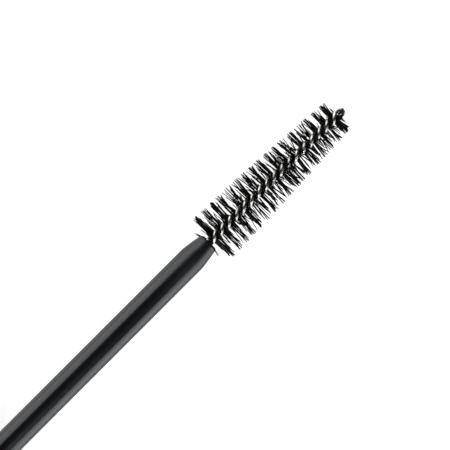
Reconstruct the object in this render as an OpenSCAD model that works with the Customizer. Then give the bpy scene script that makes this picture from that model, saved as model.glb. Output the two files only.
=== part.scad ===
// Mascara tube lying on its side, with its wand drawn out in line with it.
// The long axis runs along X: the cap is at the low end, the brush points to +X,
// and the tube lies beyond it with its mouth towards the brush. The surface is Z = 0.

/* [Barrel] */
// Outer diameter of the tube and of the cap
barrel_d = 16; // [15.6:0.2:18]
// Length of the tube from its base to the top of its collar
tube_len = 78.5; // [76:0.5:90]
// Length of the cap from its end to its mouth
cap_len = 44; // [42:0.5:52]
// Wall of the tube's outer sleeve
sleeve_wall = 0.7; // [0.5:0.1:0.8]

/* [Neck] */
// Outer diameter of the threaded neck, without its thread
neck_d = 10; // [9.8:0.1:10.4]
// Bore of the neck, which holds the wiper
neck_bore_d = 8; // [7.8:0.1:8.2]
// Advance of the thread in one turn
thread_pitch = 2.2; // [2:0.1:2.4]
// Height of the thread above its root
thread_height = 0.5; // [0.4:0.05:0.55]
// Number of turns of each thread
thread_turns = 1.75; // [1.25:0.25:2]

/* [Stem] */
// Diameter of the stem
stem_d = 4.1; // [3.6:0.1:4.2]
// Length of stem seen between the cap's mouth and the brush
stem_exposed = 46; // [42:1:50]
// Length of the stem's tapered nose
nose_len = 3.7; // [3:0.1:5]
// Diameter of the nose where it meets the brush
nose_end_d = 3.1; // [2.8:0.1:3.3]

/* [Brush] */
// Length of the brush from the stem to the fold of its wire
brush_len = 27.7; // [24:0.1:28]
// Tip-to-tip diameter of the fibres next to the stem
brush_base_d = 8.2; // [6:0.1:9]
// Tip-to-tip diameter of the fibres at the far end
brush_tip_d = 5.5; // [4:0.1:6]
// Share of the taper that is straight: the rest grows with the square of the length
straight_taper = 0.46; // [0:0.02:1]
// Diameter of the wire
wire_d = 0.62; // [0.56:0.02:0.64]
// Length in which each strand makes one turn
twist_pitch = 3.07; // [2.6:0.01:3.6]
// Diameter of one fibre
fibre_d = 0.09; // [0.06:0.01:0.09]
// Number of fibres in half a turn of the strands
fibres_per_half_turn = 15; // [8:1:15]

/* [Layout] */
// Free distance between the brush's end and the tube's mouth while the wand is out
drawn_gap = 24.5; // [5:0.5:40]

/* [Hidden] */
$fn = 96;

barrel_r = barrel_d / 2;
sleeve_bore_r = barrel_r - sleeve_wall;
neck_r = neck_d / 2;
neck_bore_r = neck_bore_d / 2;
stem_r = stem_d / 2;
wire_r = wire_d / 2;
run_gap = 0.1;              // between pieces that turn or slide on each other
edge_r = 0.25;              // small rounded edges of the metal rings

// Tube, measured from its base towards its mouth
plug_thick = 1.8;           // disc of the base plug
plug_skirt = 3.2;           // ring of the base plug, around the vial's foot
plug_rim = 0.9;             // ring of the base plug that the tube stands on
plug_recess = 0.6;
label_thick = 0.15;
foot_r = sleeve_bore_r - 0.8;
vial_r = sleeve_bore_r - 0.15;
vial_bore_r = vial_r - 1.55;
vial_floor = plug_thick + 1.6;
collar_flange = 1.2;        // flange of the collar, on the vial's shoulder
shoulder_z = tube_len - collar_flange;
collar_skirt = 1.7;         // ring of the collar, around the vial's shoulder
sleeve_len = shoulder_z - collar_skirt;
neck_len = 11.3;
rim_z = tube_len + neck_len;
bead_z = tube_len + 1.5;    // bead below the neck's thread
male_start = 3.6;           // start of the neck's thread, above the collar
wiper_flange = 0.8;
mouth_z = rim_z + wiper_flange;

// Wiper, from the rim down
wiper_mouth_r = neck_bore_r - 0.7;
wiper_lip_r = stem_r + run_gap;
wiper_body_len = 5.4;
wiper_len = 10.2;
wiper_bead = 0.15;          // how far its holding bead stands out
wiper_bead_depth = 3;

// Cap, measured from its end towards its mouth
closed_gap = 0.3;           // between the cap's mouth and the collar when screwed home
band_len = 2.6;
cap_wall = 0.75;
cap_bore_r = barrel_r - cap_wall;
cap_end_thick = 1.6;
inlay_r = 6;
inlay_thick = 0.6;
end_edge_r = 1;
seal_thick = 1;
seat_z = cap_len + closed_gap - neck_len - wiper_flange - seal_thick - 2 * run_gap;
crest_gap = 0.05;           // between the crests of the two threads
liner_wall_r = neck_r + thread_height + crest_gap + thread_height;
liner_ceiling = 1.2;
socket_r = 4.2;
tail_r = 2.4;               // part of the stem that is pressed into the socket
tail_len = 14;
socket_len = tail_len;
socket_z = seat_z - liner_ceiling - socket_len;
tail_recess = seat_z - tail_len - socket_z;   // from the socket's end to the stem's tail
liner_ribs = 6;
liner_rib_thick = 1;
liner_rib_reach = cap_bore_r - 0.05;
rib_inset = 0.3;            // how far the ribs stop short of the socket's ends
liner_mouth_z = cap_len - 0.3;
female_start = cap_len + closed_gap - male_start - 1.5 * thread_pitch;
collar_r = 3.1;             // the stem's collar, which plugs the wiper's mouth
collar_len = 3;
stem_end_z = cap_len + stem_exposed;
tip_z = stem_end_z + brush_len;
wire_hole_r = 0.72;
wire_hole_len = 7;
dish_r = 1.05;              // the hole's mouth, and how deep it is dished
dish_depth = 0.45;

// Layout along X
total_len = tip_z + drawn_gap + mouth_z;
cap_x = -total_len / 2;
base_x = total_len / 2;

// Brush
strand_r = wire_r + 0.06;   // from the brush's axis to a strand's centre line
fibre_first_z = stem_end_z + 0.35;
fibre_last_z = tip_z - 0.95;
fibre_step = twist_pitch / 2 / fibres_per_half_turn;
profile_z = stem_end_z + 1.13;   // where the fibres lie level
twist_end_z = profile_z + (floor((tip_z - 1 - profile_z) / twist_pitch * 2) / 2 + 0.25) * twist_pitch;
loop_r = strand_r + 0.19;        // the fold that joins the two strands
loop_opening = 1.1;              // length in which the strands part before the fold
rings_per_turn = 12;
wire_sides = 8;

// ---- placing ----

// A piece of the tube: its +Z points along -X, from the base to the mouth
module on_tube() translate([base_x, 0, barrel_r]) rotate([0, -90, 0]) children();

// A piece of the wand: its +Z points along +X, from the cap's end to the brush
module on_wand() translate([cap_x, 0, barrel_r]) rotate([0, 90, 0]) children();

// ---- shared shapes ----

// A tube section between two radii and two heights, for rotate_extrude
module ring_profile(r1, r2, z1, z2) translate([r1, z1]) square([r2 - r1, z2 - z1]);

// The same, with its two outer corners rounded
module soft_ring_profile(r1, r2, z1, z2, r) {
    hull() {
        ring_profile(r1, r2 - r, z1, z2);
        translate([r2 - r, z1 + r]) circle(r, $fn = 32);
        translate([r2 - r, z2 - r]) circle(r, $fn = 32);
    }
}

// Triangles between rings of n points each, and a fan over each end
function tube_faces(rings, n) = concat(
    [for (i = [0 : rings - 2], k = [0 : n - 1], half = [0, 1])
        let (a = i * n + k, b = i * n + (k + 1) % n)
        half == 0 ? [a, a + n, b] : [b, a + n, b + n]],
    [[for (k = [0 : n - 1]) k]],
    [[for (k = [n - 1 : -1 : 0]) (rings - 1) * n + k]]
);

// Screw thread around +Z. It rises from z0, right-handed, with tapered ends.
// root_r lies inside the wall that the thread grows from, and crest_r is its free edge.
module thread(root_r, crest_r, z0) {
    base_w = thread_pitch * 0.5;
    crest_w = thread_pitch * 0.2;
    steps = round(thread_turns * 30);
    side = sign(crest_r - root_r);
    function at(r, a, z) = [r * cos(a), r * sin(a), z];
    points = [for (i = [0 : steps])
        let (
            t = i / steps,
            a = 360 * thread_turns * t,
            z = z0 + thread_pitch * thread_turns * t,
            grow = max(0.08, min(1, 8 * t, 8 * (1 - t))),
            crest = root_r + (crest_r - root_r) * grow
        )
        each [
            at(root_r, a, z + side * base_w / 2), at(crest, a, z + side * crest_w / 2),
            at(crest, a, z - side * crest_w / 2), at(root_r, a, z - side * base_w / 2)
        ]];
    polyhedron(points, tube_faces(steps + 1, 4), convexity = 6);
}

// ---- tube ----

module tube_sleeve() color("#17171a") on_tube() rotate_extrude() difference() {
    soft_ring_profile(1, barrel_r, 0, sleeve_len, 0.4);
    ring_profile(0, sleeve_bore_r, -1, sleeve_len + 1);
}

module base_plug() color("#1b1b1d") on_tube() rotate_extrude() {
    ring_profile(0, sleeve_bore_r, plug_recess, plug_thick);
    ring_profile(sleeve_bore_r - plug_rim, sleeve_bore_r, 0, plug_thick);
    ring_profile(foot_r, sleeve_bore_r, plug_recess, plug_thick + plug_skirt);
}

module base_label() color("#8f9094") on_tube()
    translate([0, 0, plug_recess - label_thick])
        cylinder(r = sleeve_bore_r - plug_rim - 0.4, h = label_thick);

module vial() color("#24211f") on_tube() union() {
    rotate_extrude() difference() {
        union() {
            ring_profile(0, foot_r, plug_thick, shoulder_z);
            ring_profile(0, vial_r, plug_thick + plug_skirt, shoulder_z);
            for (z = [plug_thick + plug_skirt + 2, sleeve_len - 5])
                ring_profile(0, sleeve_bore_r, z, z + 2);
            ring_profile(0, neck_r, shoulder_z - 1, rim_z);
            ring_profile(0, neck_r + thread_height - 0.05, bead_z, bead_z + 0.8);
        }
        hull() {
            ring_profile(0, vial_bore_r - 1, vial_floor, shoulder_z - 5);
            ring_profile(0, vial_bore_r, vial_floor + 1, shoulder_z - 3);
            ring_profile(0, neck_bore_r, vial_floor + 1, shoulder_z - 1.4);
        }
        ring_profile(0, neck_bore_r, shoulder_z - 3, rim_z + 1);
        polygon(concat([[0, rim_z]], wiper_bead_outline(wiper_bead + 0.03), [[0, rim_z - 6]]));
    }
    thread(neck_r - 0.25, neck_r + thread_height, tube_len + male_start);
}

module neck_collar() color("#b9bbc0") on_tube() rotate_extrude() difference() {
    soft_ring_profile(1, barrel_r, sleeve_len, tube_len, edge_r);
    ring_profile(0, neck_r + 0.1, 0, tube_len + 1);
    ring_profile(0, vial_r + 0.05, 0, shoulder_z);
}

// Half outline of the bead that holds the wiper in the neck, from the top down
function wiper_bead_outline(stand) = [for (a = [0 : 30 : 180])
    [neck_bore_r + stand * sin(a), rim_z - wiper_bead_depth + 0.4 * cos(a)]];

module wiper() color("#3a3a3c") on_tube() rotate_extrude() difference() {
    polygon(concat(
        [[0, mouth_z], [neck_r - 0.4, mouth_z], [neck_r - 0.1, mouth_z - 0.3], [neck_r - 0.1, rim_z],
         [neck_bore_r, rim_z]],
        wiper_bead_outline(wiper_bead),
        [[neck_bore_r, rim_z - wiper_body_len], [wiper_lip_r + 0.5, rim_z - wiper_len + 0.8],
         [wiper_lip_r + 0.35, rim_z - wiper_len], [0, rim_z - wiper_len]]
    ));
    polygon([
        [-1, mouth_z + 1], [wiper_mouth_r, mouth_z + 1], [wiper_mouth_r, rim_z - wiper_body_len],
        [wiper_lip_r, rim_z - wiper_len + 0.8], [wiper_lip_r, rim_z - wiper_len - 1],
        [-1, rim_z - wiper_len - 1]
    ]);
}

// ---- wand ----

module cap_shell() color("#101012") on_wand() rotate_extrude() difference() {
    hull() {
        ring_profile(0, barrel_r - end_edge_r, 0, 1);
        translate([barrel_r - end_edge_r, end_edge_r]) circle(end_edge_r, $fn = 48);
        ring_profile(0, barrel_r, end_edge_r, cap_len - band_len);
    }
    ring_profile(0, cap_bore_r, cap_end_thick, cap_len);
    ring_profile(0, inlay_r, -1, inlay_thick);
}

module cap_inlay() color("#b9bbc0") on_wand() cylinder(r = inlay_r, h = inlay_thick);

module cap_band() color("#b9bbc0") on_wand() rotate_extrude() difference() {
    soft_ring_profile(1, barrel_r, cap_len - band_len, cap_len, edge_r);
    ring_profile(0, cap_bore_r, 0, cap_len + 1);
}

// Threaded skirt inside the cap, with a ceiling that the seal lies under
module cap_liner() color("#262628") on_wand() union() {
    rotate_extrude() {
        ring_profile(liner_wall_r, cap_bore_r, seat_z - liner_ceiling, liner_mouth_z);
        ring_profile(tail_r, cap_bore_r, seat_z - liner_ceiling, seat_z);
    }
    thread(liner_wall_r + 0.25, neck_r + thread_height + crest_gap, female_start);
}

// Ribbed socket above the liner's ceiling, which the stem's tail is pressed into
module stem_socket() color("#262628") on_wand() translate([0, 0, socket_z]) difference() {
    union() {
        cylinder(r = socket_r, h = socket_len);
        for (k = [0 : liner_ribs - 1])
            rotate([0, 0, (k + 0.5) * 360 / liner_ribs])
                translate([socket_r - 0.5, -liner_rib_thick / 2, rib_inset])
                    cube([liner_rib_reach - socket_r + 0.5, liner_rib_thick, socket_len - 2 * rib_inset]);
    }
    translate([0, 0, tail_recess]) cylinder(r = tail_r, h = socket_len);
}

module seal_washer() color("#d8d6d0") on_wand()
    translate([0, 0, seat_z + run_gap]) difference() {
        cylinder(r = neck_r + 0.3, h = seal_thick);
        translate([0, 0, -1]) cylinder(r = collar_r + run_gap, h = seal_thick + 2);
    }

// Half outline of the stem's nose: a slow curve into a cone, and a rounded rim
function nose_outline() = let (
    steps = 12,
    end_r = nose_end_d / 2,
    rim = 0.35,
    straight_z = stem_end_z - nose_len,
    cone_len = nose_len - rim,
    drop = stem_r - end_r
) concat(
    [for (i = [0 : steps]) let (t = i / steps)
        [stem_r - drop * pow(t, 1.35), straight_z + cone_len * t]],
    [for (a = [15 : 15 : 90])
        [end_r - rim * (1 - cos(a)), stem_end_z - rim + rim * sin(a)]]
);

module stem() color("#0d0d0f") on_wand() rotate_extrude() difference() {
    union() {
        ring_profile(0, tail_r, seat_z - tail_len + 0.6, seat_z);
        ring_profile(0, tail_r - 0.4, seat_z - tail_len, seat_z);
        ring_profile(0, collar_r, seat_z, seat_z + collar_len);
        polygon(concat(
            [[0, seat_z], [collar_r - 0.3, seat_z + collar_len], [stem_r, seat_z + collar_len + 0.8]],
            nose_outline(),
            [[0, stem_end_z]]
        ));
    }
    ring_profile(0, wire_hole_r, stem_end_z - wire_hole_len - 0.3, stem_end_z + 1);
    polygon([
        [-1, stem_end_z - dish_depth], [wire_hole_r, stem_end_z - dish_depth],
        [dish_r, stem_end_z], [dish_r, stem_end_z + 1], [-1, stem_end_z + 1]
    ]);
}

// ---- brush ----

// Angle about the brush's axis of the line through both strands at height z. The twist is left-handed,
// and stops just short of the fold, with the strands side by side.
function strand_angle(z) = -360 * (min(z, twist_end_z) - profile_z) / twist_pitch;

// Centre line of the one wire: up one strand, round the fold and down the other
wire_start_z = stem_end_z - wire_hole_len;
wire_top_z = tip_z - wire_r - loop_r;
wire_steps = ceil((wire_top_z - wire_start_z) / twist_pitch * rings_per_turn);
fold_steps = 8;
function parted(z) = let (t = max(0, 1 - (wire_top_z - z) / loop_opening))
    strand_r + (loop_r - strand_r) * t * t * (3 - 2 * t);
function strand_point(z, side) = let (a = strand_angle(z) + (side > 0 ? 0 : 180))
    [parted(z) * cos(a), parted(z) * sin(a), z];
function wire_z(i) = wire_start_z + (wire_top_z - wire_start_z) * i / wire_steps;
function fold_point(i) = let (
        a = strand_angle(wire_top_z),
        b = 180 * i / fold_steps
    ) [loop_r * cos(b) * cos(a), loop_r * cos(b) * sin(a), wire_top_z + loop_r * sin(b)];
wire_line = concat(
    [for (i = [0 : wire_steps]) strand_point(wire_z(i), 1)],
    [for (i = [1 : fold_steps - 1]) fold_point(i)],
    [for (i = [wire_steps : -1 : 0]) strand_point(wire_z(i), -1)]
);

function unit(v) = v / norm(v);

// A ring of points round p, square to the direction d, started from the side vector s
function ring_at(p, d, s, r, n) = let (u = unit(s - (s * d) * d), w = cross(d, u))
    [for (k = [0 : n - 1]) p + r * (cos(360 * k / n) * u + sin(360 * k / n) * w)];

// Side vector carried along the line, so that the rings don't twist
function carry(line, i, s, done) = i >= len(line) ? done : let (
        d = unit(line[min(i + 1, len(line) - 1)] - line[max(i - 1, 0)]),
        u = unit(s - (s * d) * d)
    ) carry(line, i + 1, u, concat(done, [[d, u]]));

module round_wire(line, r, n) {
    frames = carry(line, 0, [1, 0, 0], []);
    points = [for (i = [0 : len(line) - 1]) each ring_at(line[i], frames[i][0], frames[i][1], r, n)];
    polyhedron(points, tube_faces(len(line), n), convexity = 10);
}

module brush_wire() color("#c9c7c2") on_wand() round_wire(wire_line, wire_r, wire_sides);

// Each fibre lies square to the line through both strands, and is cut to the brush's convex taper
module bristles() color("#0a0a0a") on_wand()
    for (z = [fibre_first_z : fibre_step : fibre_last_z]) {
        t = (z - fibre_first_z) / (fibre_last_z - fibre_first_z);
        taper = straight_taper * t + (1 - straight_taper) * t * t;
        d = brush_base_d + (brush_tip_d - brush_base_d) * taper;
        translate([0, 0, z]) rotate([0, 0, strand_angle(z) + 90]) rotate([0, 90, 0])
            cylinder(d = fibre_d, h = d, center = true, $fn = 16);
    }

tube_sleeve();
base_plug();
base_label();
vial();
neck_collar();
wiper();
cap_shell();
cap_inlay();
cap_band();
cap_liner();
stem_socket();
seal_washer();
stem();
brush_wire();
bristles();
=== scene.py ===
"""A mascara wand drawn out of its tube, lying on a white floor: finish, fine parts, light and camera."""
import math
import random

import bmesh
import bpy
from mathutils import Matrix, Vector


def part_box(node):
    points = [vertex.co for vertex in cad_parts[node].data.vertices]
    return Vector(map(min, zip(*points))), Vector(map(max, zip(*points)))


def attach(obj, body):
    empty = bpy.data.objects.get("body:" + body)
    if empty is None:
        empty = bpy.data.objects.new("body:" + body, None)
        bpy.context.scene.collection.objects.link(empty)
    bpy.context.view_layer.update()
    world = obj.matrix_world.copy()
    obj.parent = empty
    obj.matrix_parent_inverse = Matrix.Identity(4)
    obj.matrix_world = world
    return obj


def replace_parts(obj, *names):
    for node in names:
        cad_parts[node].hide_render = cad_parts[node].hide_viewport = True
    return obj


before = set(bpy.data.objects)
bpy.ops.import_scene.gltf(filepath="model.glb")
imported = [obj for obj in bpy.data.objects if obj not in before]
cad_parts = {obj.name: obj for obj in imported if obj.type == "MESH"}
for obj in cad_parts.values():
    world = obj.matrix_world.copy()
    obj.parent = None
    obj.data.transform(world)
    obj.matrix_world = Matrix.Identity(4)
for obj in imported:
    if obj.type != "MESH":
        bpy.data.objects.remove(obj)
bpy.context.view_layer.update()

MM = 0.001
TAU = 2 * math.pi

# ---- places, from the frame ----

def span(node):
    """Start, length and outer radius of a node, in metres, mm and mm."""
    low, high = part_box(node)
    return low.x, (high.x - low.x) / MM, (high.z - low.z) / 2 / MM


cap_low, cap_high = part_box("cap_shell")
AXIS_Z = cap_low.z + (cap_high.z - cap_low.z) / 2
STEM_BACK, STEM_END = (corner.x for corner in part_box("stem"))
WIRE_BACK, FOLD_X = (corner.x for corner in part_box("brush_wire"))
BASE_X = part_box("tube_sleeve")[1].x


# ---- meshes ----

SIDES = 128                # of every turned piece


def make(name, verts, faces, body, slot, finish, sharp=35):
    """A mesh object that rides on a body and takes a finish; slot is not used. Edges over sharp degrees stay
    crisp.
    """
    mesh = bpy.data.meshes.new(name)
    mesh.from_pydata(verts, [], faces)
    mesh.validate()
    shape = bmesh.new()
    shape.from_mesh(mesh)
    bmesh.ops.recalc_face_normals(shape, faces=shape.faces)
    shape.to_mesh(mesh)
    shape.free()
    mesh.polygons.foreach_set("use_smooth", [True] * len(mesh.polygons))
    mesh.set_sharp_from_angle(angle=math.radians(sharp))
    mesh.materials.append(finish)
    obj = bpy.data.objects.new(name, mesh)
    bpy.context.scene.collection.objects.link(obj)
    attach(obj, body)
    return obj


def arc(cx, cr, radius, start, end, steps=6):
    """Points (x, r) of a small arc, in mm, with its angles in degrees."""
    angles = [math.radians(start + (end - start) * i / steps) for i in range(steps + 1)]
    return [(cx + radius * math.cos(a), cr + radius * math.sin(a)) for a in angles]


def lathe(profile, x0, direction=1):
    """Turns an outline of (x, r) points in mm about the common axis. x runs from x0 along +X or -X.
    An outline whose ends lie on the axis makes a piece with no hole, and any other one is a closed loop."""
    solid = profile[0][1] == 0
    rings = profile[1:-1] if solid else profile
    verts = []
    for x, r in rings:
        for k in range(SIDES):
            a = TAU * k / SIDES
            verts.append((x0 + direction * x * MM, r * MM * math.cos(a), AXIS_Z + r * MM * math.sin(a)))
    faces = []
    for i in range(len(rings) - 1 if solid else len(rings)):
        j = (i + 1) % len(rings)
        for k in range(SIDES):
            m = (k + 1) % SIDES
            faces.append((i * SIDES + k, i * SIDES + m, j * SIDES + m, j * SIDES + k))
    if solid:
        for (x, _), ring in ((profile[0], 0), (profile[-1], len(rings) - 1)):
            pole = len(verts)
            verts.append((x0 + direction * x * MM, 0, AXIS_Z))
            faces += [(pole, ring * SIDES + k, ring * SIDES + (k + 1) % SIDES) for k in range(SIDES)]
    return verts, faces


def sweep(points, radii, sides):
    """A closed tube along points. radii has one radius for each point."""
    side = Vector((0.3, 0.2, 1))     # a direction that none of the lines here starts along
    verts, faces = [], []
    last = len(points) - 1
    for i, p in enumerate(points):
        d = (points[min(i + 1, last)] - points[max(i - 1, 0)]).normalized()
        side = (side - side.dot(d) * d).normalized()
        other = d.cross(side)
        for k in range(sides):
            a = TAU * k / sides
            verts.append(p + radii[i] * (math.cos(a) * side + math.sin(a) * other))
    for i in range(last):
        for k in range(sides):
            m = (k + 1) % sides
            faces.append((i * sides + k, i * sides + m, (i + 1) * sides + m, (i + 1) * sides + k))
    faces.append(tuple(range(sides - 1, -1, -1)))
    faces.append(tuple(last * sides + k for k in range(sides)))
    return verts, faces


def joined(parts):
    """Several (verts, faces) as one."""
    verts, faces = [], []
    for v, f in parts:
        n = len(verts)
        verts += v
        faces += [tuple(i + n for i in face) for face in f]
    return verts, faces


def share(value, least=0.0):
    """value, held between least and 1."""
    return min(1.0, max(least, value))


# ---- shader nodes ----

def socket(node, name, value):
    node.inputs[name].default_value = value


def material(name, color, roughness, metallic=0.0, **sockets):
    """A principled material, its node tree and its shader. Other sockets are named with _ for a space."""
    mat = bpy.data.materials.new(name)
    mat.use_nodes = True
    bsdf = mat.node_tree.nodes["Principled BSDF"]
    socket(bsdf, "Base Color", (*color, 1))
    socket(bsdf, "Roughness", roughness)
    socket(bsdf, "Metallic", metallic)
    for key, value in sockets.items():
        socket(bsdf, key.replace("_", " "), value)
    return mat, mat.node_tree, bsdf


def coordinates(tree, scale=(1, 1, 1)):
    """Object coordinates in millimetres, stretched by scale."""
    coord = tree.nodes.new("ShaderNodeTexCoord")
    mapping = tree.nodes.new("ShaderNodeMapping")
    socket(mapping, "Scale", tuple(s / MM for s in scale))
    tree.links.new(coord.outputs["Object"], mapping.inputs["Vector"])
    return mapping.outputs["Vector"]


def noise(tree, vector, scale, detail, roughness=0.55):
    node = tree.nodes.new("ShaderNodeTexNoise")
    socket(node, "Scale", scale)
    socket(node, "Detail", detail)
    socket(node, "Roughness", roughness)
    tree.links.new(vector, node.inputs["Vector"])
    return node.outputs["Fac"]


def ramp(tree, fac, stops):
    """Colour ramp with (position, colour) stops."""
    node = tree.nodes.new("ShaderNodeValToRGB")
    elements = node.color_ramp.elements
    while len(elements) < len(stops):
        elements.new(0.5)
    for element, (at, color) in zip(elements, stops):
        element.position = at
        element.color = (*color, 1)
    tree.links.new(fac, node.inputs["Fac"])
    return node.outputs["Color"]


def spread(tree, fac, low, high, start=0.0, stop=1.0):
    """fac from start..stop to low..high."""
    node = tree.nodes.new("ShaderNodeMapRange")
    socket(node, "From Min", start)
    socket(node, "From Max", stop)
    socket(node, "To Min", low)
    socket(node, "To Max", high)
    tree.links.new(fac, node.inputs["Value"])
    return node.outputs["Result"]


def bump(tree, bsdf, height, distance_mm):
    node = tree.nodes.new("ShaderNodeBump")
    socket(node, "Strength", 1.0)
    socket(node, "Distance", distance_mm * MM)
    tree.links.new(height, node.inputs["Height"])
    tree.links.new(node.outputs["Normal"], bsdf.inputs["Normal"])


def grey(value):
    return (value, value, value)


# ---- finishes ----

def plastic(name, dark, light, roughness, grain, grain_mm, mottle, stretch=(1, 1, 1), **sockets):
    """A moulded plastic: its tone and roughness drift at the scale of mottle, and it has a fine grain."""
    mat, tree, bsdf = material(name, light, roughness, **sockets)
    drift = noise(tree, coordinates(tree, stretch), mottle, 4)
    tree.links.new(ramp(tree, drift, [(0.3, dark), (0.7, light)]), bsdf.inputs["Base Color"])
    tree.links.new(spread(tree, drift, roughness * 0.88, roughness * 1.12), bsdf.inputs["Roughness"])
    bump(tree, bsdf, noise(tree, coordinates(tree, stretch), grain, 2), grain_mm)
    return mat


def satin_stem():
    """Satin black that grows more matt towards the brush."""
    mat = plastic(
        "stem_black", (0.001, 0.001, 0.0011), (0.0018, 0.0018, 0.002), roughness=0.3,
        grain=9, grain_mm=0.003, mottle=1.2, stretch=(0.35, 1, 1), Specular_Tint=(0.92, 0.96, 1.0, 1),
    )
    tree = mat.node_tree
    along = tree.nodes.new("ShaderNodeSeparateXYZ")
    tree.links.new(coordinates(tree), along.inputs["Vector"])
    end = STEM_END / MM
    matt = spread(tree, along.outputs["X"], 0.25, 0.35, start=end - 11, stop=end - 3)
    tree.links.new(matt, tree.nodes["Principled BSDF"].inputs["Roughness"])
    return mat


def turned_metal(name, color, roughness):
    """Anodised metal with fine turning marks round the common axis."""
    mat, tree, bsdf = material(name, color, roughness, metallic=1.0)
    lines = noise(tree, coordinates(tree, (1, 0.02, 0.02)), 18, 3, 0.7)
    worn = noise(tree, coordinates(tree), 0.35, 4)
    dark = tuple(0.86 * c for c in color)
    tree.links.new(ramp(tree, worn, [(0.35, dark), (0.65, color)]), bsdf.inputs["Base Color"])
    tree.links.new(spread(tree, lines, roughness - 0.07, roughness + 0.07), bsdf.inputs["Roughness"])
    bump(tree, bsdf, lines, 0.004)
    return mat


def drawn_wire():
    """Stainless wire whose colour and gloss vary softly."""
    # The near-black Specular Tint is painted shade: it blackens the wire's outlines at grazing angles.
    mat, tree, bsdf = material(
        "wire_steel", (0.54, 0.53, 0.51), 0.32, metallic=1.0, Specular_Tint=(0.05, 0.05, 0.05, 1)
    )
    streaks = noise(tree, coordinates(tree), 3.0, 4)
    tone = ramp(tree, streaks, [(0.3, (0.42, 0.41, 0.385)), (0.7, (0.62, 0.61, 0.585))])
    tree.links.new(tone, bsdf.inputs["Base Color"])
    tree.links.new(spread(tree, streaks, 0.26, 0.36), bsdf.inputs["Roughness"])
    bump(tree, bsdf, noise(tree, coordinates(tree), 30, 2), 0.002)
    return mat


stem_black = satin_stem()
fibre_black = plastic(
    "fibre_black", grey(0.0006), (0.003, 0.003, 0.0031), roughness=0.4,
    grain=12, grain_mm=0.003, mottle=2.5, Specular_IOR_Level=0.08,
)
gloss_black = plastic(
    "gloss_black", (0.003, 0.003, 0.0034), (0.005, 0.005, 0.0055), roughness=0.17,
    grain=1.1, grain_mm=0.004, mottle=0.25, Coat_Weight=0.35, Coat_Roughness=0.07,
)
moulded_black = plastic(
    "moulded_black", (0.006, 0.006, 0.0064), (0.012, 0.012, 0.0125), roughness=0.42,
    grain=6, grain_mm=0.008, mottle=0.5,
)
vial_black = plastic(
    "vial_black", (0.007, 0.0065, 0.006), (0.014, 0.013, 0.0125), roughness=0.33,
    grain=3, grain_mm=0.006, mottle=0.5,
)
wiper_grey = plastic(
    "wiper_grey", (0.035, 0.035, 0.037), (0.055, 0.055, 0.058), roughness=0.45,
    grain=5, grain_mm=0.006, mottle=0.4, Subsurface_Weight=0.3, Subsurface_Scale=0.002,
)
seal_white = plastic(
    "seal_white", (0.5, 0.49, 0.46), (0.66, 0.65, 0.62), roughness=0.75,
    grain=7, grain_mm=0.03, mottle=0.8, Subsurface_Weight=0.2, Subsurface_Scale=0.001,
)
label_film = plastic(
    "label_film", (0.36, 0.36, 0.37), (0.44, 0.44, 0.45), roughness=0.38,
    grain=14, grain_mm=0.002, mottle=0.3, Sheen_Weight=0.1,
)
trim_metal = turned_metal("trim_metal", (0.62, 0.62, 0.635), 0.26)
steel = drawn_wire()


# ---- brush ----
# Lengths are in mm, and u is the distance past the stem's end.

PITCH = 3.07               # in which each strand makes one turn
WIRE_R = 0.31
STRAND_R = 0.37            # from the brush's axis to a strand's centre line
PROFILE_U = 1.13           # where the fibres lie level
TWIST_END_U = PROFILE_U + 8.25 * PITCH
LOOP_R = 0.56              # half the width of the open fold, at its centre line
LOOP_OPENING = 1.1         # in which the strands part before the fold
DROOP = 0.22               # how far the brush's tip stands off the stem's axis
BRUSH_LEN = (FOLD_X - STEM_END) / MM
FIRST_FIBRE_U = 0.05
LAST_FIBRE_U = 27.0
FIBRE_STEP = 0.049         # mean distance between fibres, before they crowd at the ends
FIBRE_R = 0.063
rng = random.Random(7)


def twist(u):
    """Angle of the strands' line from +Z towards +Y. The twist stops just short of the fold."""
    return TAU * (min(u, TWIST_END_U) - PROFILE_U) / PITCH


def brush_point(u, y, z):
    bend = DROOP * (max(u, 0) / BRUSH_LEN) ** 2
    return Vector((STEM_END + u * MM, (y - bend) * MM, AXIS_Z + z * MM))


def wire():
    """One wire: up a strand, round the fold at the tip and back down the other strand."""
    start = (WIRE_BACK - STEM_END) / MM
    turn = BRUSH_LEN - WIRE_R - LOOP_R
    strand_steps, fold_steps, sides = 420, 24, 20

    def strand(side):
        points = []
        for i in range(strand_steps + 1):
            u = start + (turn - start) * i / strand_steps
            parted = max(0.0, 1 - (turn - u) / LOOP_OPENING)
            r = side * (STRAND_R + (LOOP_R - STRAND_R) * parted ** 2 * (3 - 2 * parted))
            points.append(brush_point(u, r * math.sin(twist(u)), r * math.cos(twist(u))))
        return points

    fold = []
    end_angle = twist(turn)
    for i in range(1, fold_steps):
        a = math.pi * i / fold_steps
        r = LOOP_R * math.cos(a)
        y, z = r * math.sin(end_angle), r * math.cos(end_angle)
        fold.append(brush_point(turn + LOOP_R * math.sin(a), y, z))
    line = strand(1) + fold + strand(-1)[::-1]
    return sweep(line, [WIRE_R * MM] * len(line), sides)


def envelope(u):
    """Radius that the brush is trimmed to: a convex taper."""
    past = u - 0.9
    return 4.1 - 0.024 * past - 0.0011 * past ** 2


def tuft(u, side):
    """A few neighbouring fibres that hold together: how many, where they meet, and how far they lean.
    They lean at random, most in the middle of the brush, and splay outwards at its two ends."""
    middle = share((u - 3.0) / 4.0) * share((24.5 - u) / 3.0, least=0.35)
    count = rng.choice((1, 1, 2, 2, 3))
    lean = rng.gauss(0, math.radians(2.4 + 4.2 * middle))
    lean -= math.radians(10) * share(1 - u / 0.4)
    lean += math.radians(13) * share(1 - (LAST_FIBRE_U - u) / 0.9)
    return {"left": count, "u": u + 0.045 * (count - 1), "lean": lean, "side": side}


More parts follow.
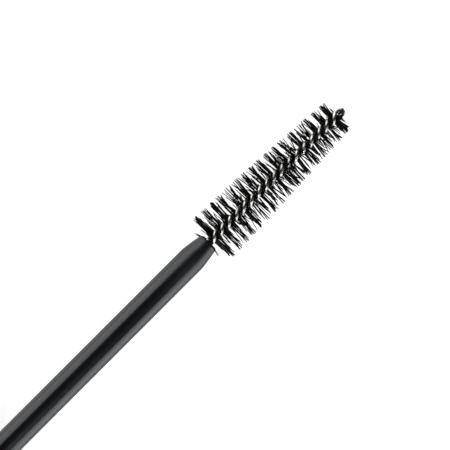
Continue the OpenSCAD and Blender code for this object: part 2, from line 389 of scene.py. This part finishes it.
def half_fibre(u, bunch):
    """Points of one free half, from near the core to the trimmed tip."""
    bunch["left"] -= 1
    steps, gather, own_share = 6, 0.3, 0.75     # gather: how far the tip closes up with its tuft
    r_tip = envelope(u + envelope(u) * math.tan(bunch["lean"])) * (1 - abs(rng.gauss(0, 0.012)))
    tilt = bunch["lean"] + math.atan(gather * (bunch["u"] - u) / r_tip) + rng.gauss(0, math.radians(0.9))
    angle = own_share * twist(u) + (1 - own_share) * twist(bunch["u"]) + rng.gauss(0, math.radians(3))
    points = []
    for i in range(1, steps + 1):
        r = r_tip * i / steps
        y, z = bunch["side"] * r * math.cos(angle), -bunch["side"] * r * math.sin(angle)
        points.append(brush_point(u + r * math.tan(tilt), y, z))
    return points


def fibres():
    """Fibres all along the brush, each held at its middle, closer together at both ends."""
    sides, blunt = 6, 0.8                       # blunt: width of a cut tip, as a share of the fibre's
    u, made = FIRST_FIBRE_U, []
    bunches = {1: tuft(u, 1), -1: tuft(u, -1)}
    while u < LAST_FIBRE_U:
        for side, bunch in bunches.items():
            if not bunch["left"]:
                bunches[side] = tuft(u, side)
        ups, downs = (half_fibre(u, bunches[side]) for side in (1, -1))
        radius = FIBRE_R * (1 + rng.uniform(-0.1, 0.1)) * MM
        path = downs[::-1] + [brush_point(u, 0, 0)] + ups
        radii = [radius * blunt] + [radius] * (len(path) - 2) + [radius * blunt]
        made.append(sweep(path, radii, sides))
        crowd = 1 + 0.1 * share(1 - u / 3) + 1.1 * share(1 - (LAST_FIBRE_U - u) / 4)
        u += FIBRE_STEP * rng.uniform(0.75, 1.25) / crowd
    return joined(made)


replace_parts(make("twisted_wire", *wire(), "wand", "wire_steel", steel, 60), "brush_wire")
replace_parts(make("brush_fibres", *fibres(), "wand", "fibre_nylon", fibre_black, 80), "bristles")


# ---- stem ----

STEM_R = 2.05


def stem_profile():
    """Half outline of the stem as (x, r) in mm from its back end, all the way round to its wire hole."""
    length = (STEM_END - STEM_BACK) / MM
    lead_end, lead_r = 0.6, 2.0                 # narrow start of the tail
    tail_end, tail_r = 14.0, 2.4
    collar_end, collar_r = 17.0, 3.1
    nose, end_r, rim, steps = 3.7, 1.55, 0.35, 16
    hole, hole_r, dish_r = 6, 0.72, 1.0         # wire hole, in a shallow dish
    points = [(0, 0), (0, lead_r - 0.15), (0.15, lead_r), (lead_end, lead_r), (lead_end, tail_r)]
    points += [(tail_end, tail_r), (tail_end, collar_r - 0.15)]
    points += arc(tail_end + 0.15, collar_r - 0.15, 0.15, 180, 90)
    points += [(collar_end - 0.2, collar_r)] + arc(collar_end - 0.3, collar_r - 0.3, 0.3, 80, 40)
    points += [(collar_end + 0.8, STEM_R), (length - nose - 3, STEM_R)]
    for i in range(steps + 1):
        t = i / steps
        points.append((length - nose + (nose - rim) * t, STEM_R - (STEM_R - end_r) * t ** 1.35))
    points += arc(length - rim, end_r - rim, rim, 80, 0, 8)
    points += [(length, dish_r + 0.08), (length - 0.12, dish_r)]
    points += [(length - 0.45, hole_r), (length - hole, hole_r), (length - hole, 0)]
    return points


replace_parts(make("stem_rod", *lathe(stem_profile(), STEM_BACK), "wand", "stem_plastic", stem_black), "stem")


# ---- cap ----

def rounded(x0, x1, r_in, r_out, r_edge):
    """Ring section from x0 to x1 with its two outer edges rounded."""
    return (
        [(x0, r_in)] + arc(x0 + r_edge, r_out - r_edge, r_edge, 180, 90)
        + arc(x1 - r_edge, r_out - r_edge, r_edge, 90, 0) + [(x1, r_in)]
    )


cap_x, cap_len, cap_r = span("cap_shell")
inlay_x, inlay_len, inlay_r = span("cap_inlay")
band_x, band_len, band_r = span("cap_band")
seal_x, seal_len, seal_r = span("seal_washer")
CAP_WALL = 0.75
SEAL_WIDTH = 2.1


def cap_outline():
    """Closed, rounded end with a recess for the disc, and a thin wall down to the open mouth."""
    floor, end_round, edge = 1.6, 1.0, 0.12
    return (
        [(inlay_len, 0), (inlay_len, inlay_r)] + arc(edge, inlay_r + edge, edge, 270, 180, 4)
        + arc(end_round, cap_r - end_round, end_round, 180, 90, 12)
        + arc(cap_len - edge, cap_r - edge, edge, 90, 0, 4)
        + [(cap_len, cap_r - CAP_WALL), (floor, cap_r - CAP_WALL), (floor, 0)]
    )


def inlay_outline():
    """Disc with a turned groove inside its rounded edge. It stays 0.01 mm clear of its recess."""
    face, groove, gap = 0.04, 0.09, 0.01
    return (
        [(0.03, 0), (face, inlay_r - 0.72), (groove, inlay_r - 0.66), (groove, inlay_r - 0.56)]
        + [(face, inlay_r - 0.5)] + arc(0.14, inlay_r - 0.12, 0.11, 180, 90, 4)
        + [(inlay_len - gap, inlay_r - gap), (inlay_len - gap, 0)]
    )


cap_profile = cap_outline()
inlay_profile = inlay_outline()
band_profile = rounded(0.02, band_len, band_r - CAP_WALL, band_r, 0.25)
seal_profile = rounded(0, seal_len, seal_r - SEAL_WIDTH, seal_r, 0.12)
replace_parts(make("outer_cap", *lathe(cap_profile, cap_x), "wand", "cap_plastic", gloss_black), "cap_shell")
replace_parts(make("cap_disc", *lathe(inlay_profile, inlay_x), "wand", "trim_metal", trim_metal), "cap_inlay")
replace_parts(make("cap_ring", *lathe(band_profile, band_x), "wand", "trim_metal", trim_metal), "cap_band")
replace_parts(make("foam_seal", *lathe(seal_profile, seal_x), "seal", "seal_foam", seal_white), "seal_washer")


# ---- tube ----
# Its pieces are turned from the base, so x in their outlines is the distance from the base in mm.

def from_base(x):
    return (BASE_X - x) / MM


sleeve_len, sleeve_r = span("tube_sleeve")[1:]
collar_len, collar_r = span("neck_collar")[1:]
label_r = span("base_label")[2]
collar_foot = from_base(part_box("neck_collar")[1].x)
collar_top = collar_foot + collar_len
shoulder = collar_top - 1.2          # the vial's shoulder, below the collar's flange
neck_rim = from_base(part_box("vial")[0].x)
mouth = from_base(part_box("wiper")[0].x)
NECK_R, NECK_BORE, VIAL_R, FOOT_R = 5.0, 4.0, 7.15, 6.5
THREAD_PITCH, THREAD_TURNS, THREAD_CREST = 2.2, 1.75, 5.5


def sleeve_profile():
    """Barrel wall with a rounded foot and a fine chamfer under the collar."""
    bore = sleeve_r - 0.69
    points = [(0, bore)] + arc(0.4, sleeve_r - 0.4, 0.4, 180, 90, 8)
    points += [(sleeve_len - 0.15, sleeve_r), (sleeve_len - 0.03, sleeve_r - 0.1), (sleeve_len - 0.01, bore)]
    return points


def vial_profile():
    """Outline of the vial from the middle of its foot, up its outside and down its bore."""
    foot, wide, floor, bore, rib_r = 1.8, 5.0, 3.4, 5.6, 7.27
    points = [(foot, 0), (foot, FOOT_R), (wide, FOOT_R), (wide + 0.15, VIAL_R)]
    for z in (wide + 2, sleeve_len - 5):
        points += [(z, VIAL_R), (z + 0.1, rib_r), (z + 1.9, rib_r), (z + 2, VIAL_R)]
    points += [(shoulder - 0.15, VIAL_R), (shoulder, VIAL_R - 0.15), (shoulder, NECK_R)]
    points += [(collar_top + 1.5, NECK_R)] + arc(collar_top + 1.9, NECK_R + 0.05, 0.4, 180, 0, 10)
    points += [(collar_top + 2.3, NECK_R)] + arc(neck_rim - 0.25, NECK_R - 0.25, 0.25, 90, 0, 5)
    points += [(neck_rim, NECK_BORE), (shoulder - 1.4, NECK_BORE), (shoulder - 3, bore)]
    points += [(floor + 1, bore), (floor, bore - 1), (floor, 0)]
    return points


def neck_thread():
    """The neck's right-handed thread: a rounded ridge that starts and ends low. The points of its flank
    are given as shares of the pitch and of the thread's height."""
    flank = ((0.25, -0.12), (0.21, 0.05), (0.1, 0.85), (0.05, 1))
    section = [(-across, height) for across, height in flank] + list(flank[::-1])
    start, least, fade = collar_top + 3.6, 0.04, 8      # the height grows over 1/fade of the length
    steps = round(THREAD_TURNS * 72)
    verts, faces = [], []
    for i in range(steps + 1):
        t = i / steps
        a = TAU * THREAD_TURNS * t
        grow = share(min(fade * t, fade * (1 - t)), least) * (THREAD_CREST - NECK_R)
        for across, height in section:
            z = start + THREAD_PITCH * (THREAD_TURNS * t + across)
            r = (NECK_R + grow * height) * MM
            verts.append((BASE_X - z * MM, r * math.sin(a), AXIS_Z + r * math.cos(a)))
    n = len(section)
    for i in range(steps):
        for k in range(n):
            m = (k + 1) % n
            faces.append((i * n + k, (i + 1) * n + k, (i + 1) * n + m, i * n + m))
    faces += [tuple(range(n)), tuple(steps * n + k for k in range(n - 1, -1, -1))]
    return verts, faces


def plug_profile():
    """Disc with a standing rim, and a skirt round the vial's foot."""
    disc, back, rim_r, plug_r = 0.6, 1.8, 6.4, sleeve_r - 0.72
    skirt, bore = 5.0, FOOT_R + 0.02
    points = [(disc, 0), (disc, rim_r)] + arc(0.15, rim_r + 0.15, 0.15, 270, 180, 4)
    points += arc(0.15, plug_r - 0.15, 0.15, 180, 90, 4)
    points += [(skirt - 0.1, plug_r), (skirt, plug_r - 0.1), (skirt, bore), (back, bore), (back, 0)]
    return points


def label_profile():
    """Thin disc with a soft edge, in the plug's recess."""
    face, back = 0.45, 0.595
    return [(face, 0)] + arc(0.49, label_r - 0.04, 0.04, 180, 90, 3) + [(back, label_r), (back, 0)]


def collar_profile():
    """Flange over the vial's shoulder and a skirt round it, with soft outer edges."""
    points = [(collar_foot, VIAL_R + 0.05)] + arc(collar_foot + 0.25, collar_r - 0.25, 0.25, 180, 90, 6)
    points += arc(collar_top - 0.25, collar_r - 0.25, 0.25, 90, 0, 6)
    points += [(collar_top, NECK_R + 0.22), (collar_top - 0.1, NECK_R + 0.1)]
    points += [(shoulder, NECK_R + 0.1), (shoulder, VIAL_R + 0.05)]
    return points


def wiper_profile():
    """Rolled flange, mouth, thin funnel and lip."""
    funnel, lip = neck_rim - 5.4, neck_rim - 10.2
    mouth_r, bore = 3.3, STEM_R + 0.1
    points = arc(mouth - 0.3, NECK_R - 0.4, 0.3, 90, 0, 6)
    points += arc(mouth - 0.35, mouth_r + 0.35, 0.35, 0, -90, 6)
    points += [(funnel + 0.4, mouth_r), (funnel - 0.2, mouth_r - 0.06)]
    points += [(lip + 0.9, bore + 0.06), (lip + 0.6, bore)]
    points += [(lip + 0.12, bore)] + arc(lip + 0.17, bore + 0.17, 0.17, 270, 180, 4)
    points += [(lip, bore + 0.3), (lip + 0.8, bore + 0.5)]
    points += [(funnel - 0.1, NECK_BORE - 0.06), (funnel + 0.1, NECK_BORE)]
    points += arc(neck_rim - 3, NECK_BORE, 0.15, 180, 0, 8)[1:-1]
    points += [(neck_rim, NECK_BORE), (neck_rim, NECK_R - 0.1)]
    return points


def tube_piece(name, profile, slot, finish, node):
    piece = make(name, *lathe(profile, BASE_X, -1), "tube", slot, finish)
    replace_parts(piece, node)


tube_piece("end_plug", plug_profile(), "plug_plastic", moulded_black, "base_plug")
tube_piece("base_sticker", label_profile(), "label_film", label_film, "base_label")
tube_piece("tube_barrel", sleeve_profile(), "sleeve_plastic", gloss_black, "tube_sleeve")
tube_piece("collar_ring", collar_profile(), "trim_metal", trim_metal, "neck_collar")
tube_piece("wiper_insert", wiper_profile(), "wiper_plastic", wiper_grey, "wiper")
vial_mesh = joined([lathe(vial_profile(), BASE_X, -1), neck_thread()])
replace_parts(make("vial_bottle", *vial_mesh, "tube", "vial_plastic", vial_black), "vial")


# ---- CAD pieces that keep their shape ----

def finish_node(node, finish):
    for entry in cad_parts[node].material_slots:
        entry.material = finish


finish_node("cap_liner", moulded_black)
finish_node("stem_socket", moulded_black)


# ---- light ----

CAMERA_AT = Vector((STEM_END + 3.41 * MM, 0.115 * MM, AXIS_Z))     # the middle of the view
LAMP_SIZE = 0.22
LAMP_DISTANCE = 0.42


def strip(name, angle, length, width, distance, radiance, along=0.0):
    """A long soft box beside the wand, angle degrees from overhead towards +Y, moved along X."""
    light = bpy.data.lights.new(name, "AREA")
    light.shape = "RECTANGLE"
    light.size, light.size_y = length, width
    light.energy = radiance * math.pi * length * width
    obj = bpy.data.objects.new(name, light)
    a = math.radians(angle)
    obj.location = (CAMERA_AT.x + along, distance * math.sin(a), CAMERA_AT.z + distance * math.cos(a))
    obj.rotation_euler = (-a, 0, 0)
    obj.visible_camera = False
    bpy.context.scene.collection.objects.link(obj)
    return obj


def lamp(name, towards, radiance):
    """A square soft box that stands in the direction towards, and faces the middle of the view."""
    obj = strip(name, 0, LAMP_SIZE, LAMP_SIZE, LAMP_DISTANCE, radiance)
    obj.location = CAMERA_AT + LAMP_DISTANCE * Vector(towards).normalized()
    obj.rotation_euler = Vector(towards).to_track_quat("Z", "Y").to_euler()


strip("soft_box_left", angle=63, length=0.7, width=0.36, distance=0.36, radiance=2.6, along=0.2)
strip("soft_box_right", angle=-80, length=0.9, width=0.3, distance=0.36, radiance=2.7, along=0.05)
lamp("key", towards=(-0.6, -0.46, 0.63), radiance=11)
lamp("back", towards=(0.62, 0.42, 0.64), radiance=0.7)
top = strip("top_fill", angle=0, length=0.9, width=0.9, distance=0.9, radiance=0.6)
top.visible_glossy = False


# ---- floor and surroundings ----

def pale_floor():
    """A floor that glows more with distance, so that it stays pale away from the lights."""
    mat, tree, bsdf = material("floor", grey(0.42), 0.7, Emission_Color=(1, 1, 1, 1))
    far = tree.nodes.new("ShaderNodeVectorMath")
    far.operation = "LENGTH"
    tree.links.new(tree.nodes.new("ShaderNodeTexCoord").outputs["Object"], far.inputs[0])
    glow = spread(tree, far.outputs["Value"], 0.47, 1.0, start=0.25, stop=0.9)
    tree.links.new(glow, bsdf.inputs["Emission Strength"])
    half = 6                         # half the length of its side, in metres
    corners = [(-half, -half, 0), (half, -half, 0), (half, half, 0), (-half, half, 0)]
    obj = bpy.data.objects.new("floor", bpy.data.meshes.new("floor"))
    obj.data.from_pydata(corners, [], [(0, 1, 2, 3)])
    obj.data.materials.append(mat)
    bpy.context.scene.collection.objects.link(obj)
    obj.visible_glossy = False
    return obj


def connect(tree, value, target):
    """Gives target a value, or a link from an output."""
    if isinstance(value, bpy.types.NodeSocket):
        tree.links.new(value, target)
    else:
        target.default_value = value


def calculated(tree, operation, *values):
    node = tree.nodes.new("ShaderNodeMath")
    node.operation = operation
    for value, target in zip(values, node.inputs):
        connect(tree, value, target)
    return node.outputs[0]


def mixed(tree, blend, factor, first, second):
    """Mix of two colours. Inputs 0, 6 and 7 of the node are the factor and the colours, output 2 the mix."""
    node = tree.nodes.new("ShaderNodeMix")
    node.data_type = "RGBA"
    node.blend_type = blend
    for value, index in ((factor, 0), (first, 6), (second, 7)):
        connect(tree, value, node.inputs[index])
    return node.outputs[2]


def studio():
    """A light grey room. Reflections see a dark room over a bright floor instead, and that floor is dimmer
    straight below and towards both ends of the wand."""
    world = bpy.data.worlds.new("studio")
    bpy.context.scene.world = world
    world.use_nodes = True
    world.cycles.sampling_method = "NONE"
    tree = world.node_tree
    direction = tree.nodes.new("ShaderNodeSeparateXYZ")
    tree.links.new(tree.nodes.new("ShaderNodeTexCoord").outputs["Generated"], direction.inputs["Vector"])
    height = calculated(tree, "MULTIPLY_ADD", direction.outputs["Z"], 0.5, 0.5)
    below = ramp(tree, height, [(0.04, grey(0.3)), (0.2, grey(1.2)), (0.5, grey(1.4)), (0.53, grey(0.02))])
    lengthwise = calculated(tree, "ABSOLUTE", direction.outputs["X"])
    ends = ramp(tree, lengthwise, [(0.3, grey(1)), (0.55, grey(0.2))])
    reflected = mixed(tree, "MULTIPLY", 1.0, below, ends)
    glossy = tree.nodes.new("ShaderNodeLightPath").outputs["Is Glossy Ray"]
    seen = mixed(tree, "MIX", glossy, (0.75, 0.75, 0.75, 1), reflected)
    tree.links.new(seen, tree.nodes["Background"].inputs["Color"])


floor = pale_floor()
studio()


# ---- camera ----

VIEW_WIDTH = 65.93 * MM              # at the height of the axis

camera = bpy.data.objects.new("camera", bpy.data.cameras.new("camera"))
bpy.context.scene.collection.objects.link(camera)
bpy.context.scene.camera = camera
camera.data.lens = 250
camera.location = CAMERA_AT + Vector((0, 0, VIEW_WIDTH * camera.data.lens / camera.data.sensor_width))
camera.rotation_euler = (0, 0, math.radians(-45))
bpy.context.scene.view_settings.view_transform = "Standard"
